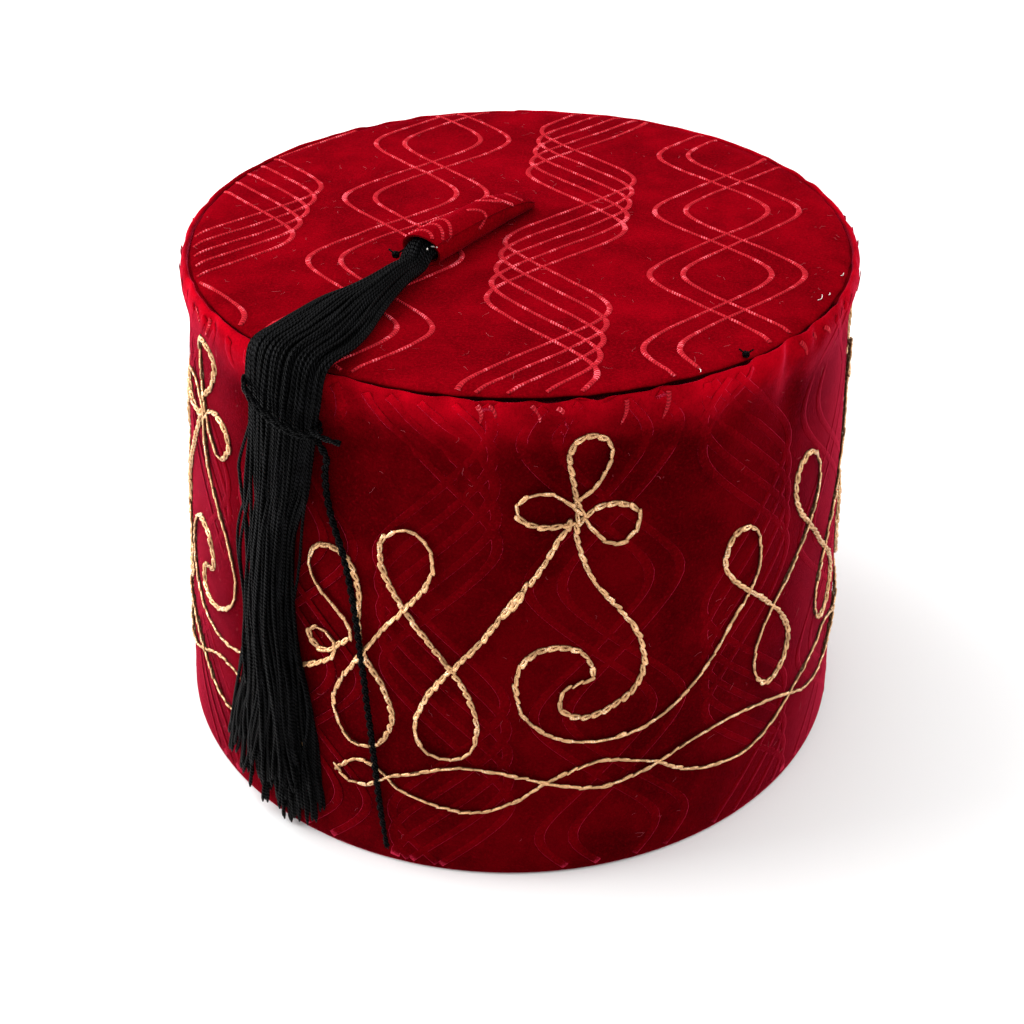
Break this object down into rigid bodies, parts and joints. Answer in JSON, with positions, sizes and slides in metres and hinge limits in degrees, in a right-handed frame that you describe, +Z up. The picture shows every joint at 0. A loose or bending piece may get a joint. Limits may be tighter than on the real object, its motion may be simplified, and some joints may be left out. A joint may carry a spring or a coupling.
{
  "type": "fez hat",
  "caption": "Velvet fez: a tapered side wall open below, a flat seamed crown, and a black tassel that hangs over the rim.",
  "frame": {"origin": "on the surface that the hat stands on, in the middle of the open base", "axes": "+Z up through the crown; -Y is the front, with the tassel at the front left; +X is to the right seen from the front"},
  "size_m": [0.1859, 0.1858, 0.1437],
  "materials": {
    "velvet": "deep red pile velvet with woven satin lines",
    "black_rayon": "twisted black rayon thread, slightly glossy",
    "gold_thread": "metallic gold chain stitch"
  },
  "bodies": {
    "root": {"side_wall": "velvet", "crown_top": "velvet", "tassel_sleeve": "velvet", "tassel": "black_rayon", "tassel_tie": "black_rayon", "tail_cord": "black_rayon"}
  },
  "joints": []
}
